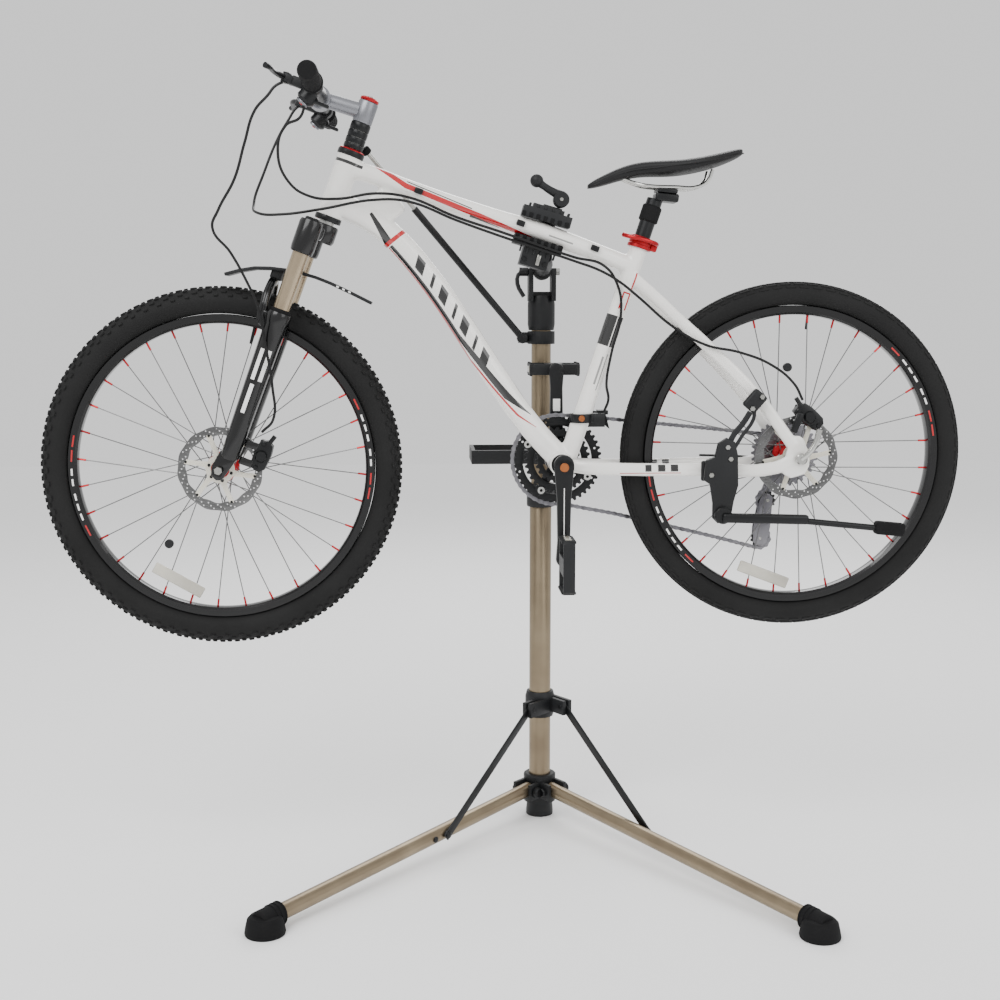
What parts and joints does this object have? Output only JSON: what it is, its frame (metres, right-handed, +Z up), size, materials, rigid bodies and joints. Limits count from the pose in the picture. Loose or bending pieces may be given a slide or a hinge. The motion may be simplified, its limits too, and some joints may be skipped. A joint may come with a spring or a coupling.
{
  "type": "mountain bicycle on repair stand",
  "caption": "Hardtail mountain bicycle clamped by its top tube in a folding repair stand with a tool tray, telescoping mast and handlebar stabiliser.",
  "frame": {"origin": "centre of the mast foot on the floor", "axes": "+Z up the mast, +X from the front wheel towards the rear wheel, -Y towards the bicycle and its left side"},
  "size_m": [1.7634, 0.7936, 1.4796],
  "materials": {
    "bronze_anodised": "bronze anodised tube",
    "black_plastic": "moulded black plastic",
    "black_metal": "satin black anodised or painted metal",
    "rubber": "black rubber",
    "tyre": "moulded tyre rubber",
    "white_paint": "gloss white enamel with red and black bands",
    "black_paint": "gloss black enamel",
    "steel": "machined steel",
    "red_anodised": "red anodised aluminium",
    "saddle_cover": "black grained cover over foam"
  },
  "bodies": {
    "stand_base": {"leg_hub": "black_plastic", "mast_lower_tube": "bronze_anodised", "height_clamp": "black_plastic"},
    "collar": {"strut_collar": "black_plastic"},
    "left_strut": {"strut_left": "black_metal"},
    "right_strut": {"strut_right": "black_metal"},
    "left_leg": {"leg_left": "bronze_anodised", "foot_left": "rubber"},
    "right_leg": {"leg_right": "bronze_anodised", "foot_right": "rubber"},
    "upper_mast": {"mast_upper_tube": "bronze_anodised", "tool_tray": "black_plastic", "stabiliser_collar": "black_plastic", "head_yoke": "black_plastic"},
    "cross_bolt_lever": {"head_lever": "black_plastic"},
    "stabiliser": {"stabiliser_arm": "black_metal"},
    "bicycle": {"clamp_body": "black_plastic", "frame": "white_paint", "seat_clamp": "red_anodised", "chain": "steel", "rear_derailleur": "steel", "front_derailleur": "black_metal", "rear_caliper": "black_metal", "kickstand_mount": "black_plastic", "rear_brake_hose": "black_plastic", "shift_cables": "black_plastic"},
    "upper_jaw": {"clamp_jaw": "black_plastic"},
    "jaw_lever": {"clamp_lever": "black_plastic"},
    "saddle_post": {"seat_post": "black_metal", "saddle_rails": "steel", "saddle": "saddle_cover"},
    "post_lever": {"seat_clamp_lever": "red_anodised"},
    "front_end": {"fork_upper": "black_paint", "stem": "steel", "handlebar": "black_metal", "grip_left": "rubber", "grip_right": "rubber", "lever_perch_left": "black_plastic", "lever_perch_right": "black_plastic", "front_brake_hose": "black_plastic"},
    "fork_slider": {"fork_lowers": "black_paint", "front_caliper": "black_metal", "front_fender": "black_plastic"},
    "left_brake_lever": {"brake_lever_left": "black_metal"},
    "right_brake_lever": {"brake_lever_right": "black_metal"},
    "front_wheel": {"front_tyre": "tyre", "front_rim": "black_paint", "front_hub": "red_anodised", "front_rotor": "steel"},
    "rear_wheel": {"rear_tyre": "tyre", "rear_rim": "black_paint", "rear_hub": "red_anodised", "rear_rotor": "steel"},
    "cranks": {"crankset": "black_metal", "crank_left": "black_metal"},
    "left_pedal": {"pedal_left": "black_plastic"},
    "right_pedal": {"pedal_right": "black_plastic"},
    "cogs": {"cassette": "steel"},
    "kickstand": {"kickstand_leg": "black_metal"}
  },
  "joints": [
    {"name": "collar_slide", "type": "slide", "parent": "stand_base", "child": "collar", "axis": [0, 0, 1], "range_m": [0, 0.2]},
    {"name": "left_leg_fold", "type": "hinge", "parent": "stand_base", "child": "left_leg", "pos_m": [-0.03122, -0.03378, 0.062], "axis": [-0.7344, 0.6788, 0], "range_deg": [0, 34.35]},
    {"name": "right_leg_fold", "type": "hinge", "parent": "stand_base", "child": "right_leg", "pos_m": [0.02553, -0.03827, 0.062], "axis": [-0.8319, -0.555, 0], "range_deg": [0, 34.35]},
    {"name": "left_strut_fold", "type": "hinge", "parent": "collar", "child": "left_strut", "pos_m": [-0.03937, -0.04259, 0.244], "axis": [0.7344, -0.6788, 0], "range_deg": [0, 13.74]},
    {"name": "right_strut_fold", "type": "hinge", "parent": "collar", "child": "right_strut", "pos_m": [0.03219, -0.04825, 0.244], "axis": [0.8319, 0.555, 0], "range_deg": [0, 13.74]},
    {"name": "mast_slide", "type": "slide", "parent": "stand_base", "child": "upper_mast", "axis": [0, 0, 1], "range_m": [-0.035, 0.15]},
    {"name": "cross_bolt_lever", "type": "hinge", "parent": "upper_mast", "child": "cross_bolt_lever", "pos_m": [-0.04, -0.014, 1.146], "axis": [1, 0, 0], "range_deg": [-110, 0]},
    {"name": "head_tilt", "type": "hinge", "parent": "upper_mast", "child": "bicycle", "pos_m": [0, -0.014, 1.146], "axis": [0, 1, 0], "range_deg": [-15, 15]},
    {"name": "stabiliser_swing", "type": "hinge", "parent": "upper_mast", "child": "stabiliser", "pos_m": [-0.04, -0.011, 1.012], "axis": [0, 1, 0], "range_deg": [-10, 0]},
    {"name": "jaw_slide", "type": "slide", "parent": "bicycle", "child": "upper_jaw", "axis": [0.2756, 0, 0.9613], "range_m": [0, 0.035]},
    {"name": "jaw_lever", "type": "hinge", "parent": "upper_jaw", "child": "jaw_lever", "pos_m": [0.0174, -0.214, 1.2744], "axis": [0, 1, 0], "range_deg": [0, 100]},
    {"name": "steering", "type": "hinge", "parent": "bicycle", "child": "front_end", "pos_m": [-0.42, -0.214, 1.236], "axis": [0.3478, 0, 0.9376], "range_deg": [-40, 40], "deforming": ["rear_brake_hose", "shift_cables"]},
    {"name": "fork_travel", "type": "slide", "parent": "front_end", "child": "fork_slider", "axis": [0.3478, 0, 0.9376], "range_m": [0, 0.06], "stiffness_N_per_m": 9000, "deforming": ["front_brake_hose"]},
    {"name": "left_brake_lever", "type": "hinge", "parent": "front_end", "child": "left_brake_lever", "pos_m": [-0.47819, -0.364, 1.47304], "axis": [0.3478, 0, 0.9376], "range_deg": [0, 18], "stiffness_Nm_per_rad": 0.6},
    {"name": "right_brake_lever", "type": "hinge", "parent": "front_end", "child": "right_brake_lever", "pos_m": [-0.47819, -0.064, 1.47304], "axis": [0.3478, 0, 0.9376], "range_deg": [-18, 0], "stiffness_Nm_per_rad": 0.6},
    {"name": "front_wheel_spin", "type": "hinge", "parent": "fork_slider", "child": "front_wheel", "pos_m": [-0.62491, -0.214, 0.77392], "axis": [0, 1, 0], "continuous": true},
    {"name": "rear_wheel_spin", "type": "hinge", "parent": "bicycle", "child": "rear_wheel", "pos_m": [0.467, -0.214, 0.79], "axis": [0, 1, 0], "continuous": true},
    {"name": "crank_spin", "type": "hinge", "parent": "bicycle", "child": "cranks", "pos_m": [0.018, -0.214, 0.777], "axis": [0, 1, 0], "continuous": true},
    {"name": "cassette_spin", "type": "hinge", "parent": "bicycle", "child": "cogs", "pos_m": [0.467, -0.214, 0.79], "axis": [0, 1, 0], "continuous": true},
    {"name": "left_pedal_spin", "type": "hinge", "parent": "cranks", "child": "left_pedal", "pos_m": [0.018, -0.35, 0.602], "axis": [0, 1, 0], "continuous": true},
    {"name": "right_pedal_spin", "type": "hinge", "parent": "cranks", "child": "right_pedal", "pos_m": [0.018, -0.08, 0.952], "axis": [0, 1, 0], "continuous": true},
    {"name": "kickstand_swing", "type": "hinge", "parent": "bicycle", "child": "kickstand", "pos_m": [0.316, -0.318, 0.686], "axis": [0, 1, 0], "range_deg": [0, 75]},
    {"name": "seat_post_slide", "type": "slide", "parent": "bicycle", "child": "saddle_post", "axis": [0.3151, 0, 0.9491], "range_m": [-0.005, 0.06]},
    {"name": "seat_clamp_lever", "type": "hinge", "parent": "bicycle", "child": "post_lever", "pos_m": [0.2004, -0.226, 1.191], "axis": [0.3151, 0, 0.9491], "range_deg": [0, 90]}
  ],
  "couplings": [
    {"joint": "left_leg_fold", "follows": "collar_slide", "rad_per_m": 2.9946},
    {"joint": "right_leg_fold", "follows": "collar_slide", "rad_per_m": 2.9946},
    {"joint": "left_strut_fold", "follows": "collar_slide", "rad_per_m": 1.1978},
    {"joint": "right_strut_fold", "follows": "collar_slide", "rad_per_m": 1.1978},
    {"joint": "cassette_spin", "follows": "crank_spin", "ratio": 2.75}
  ]
}
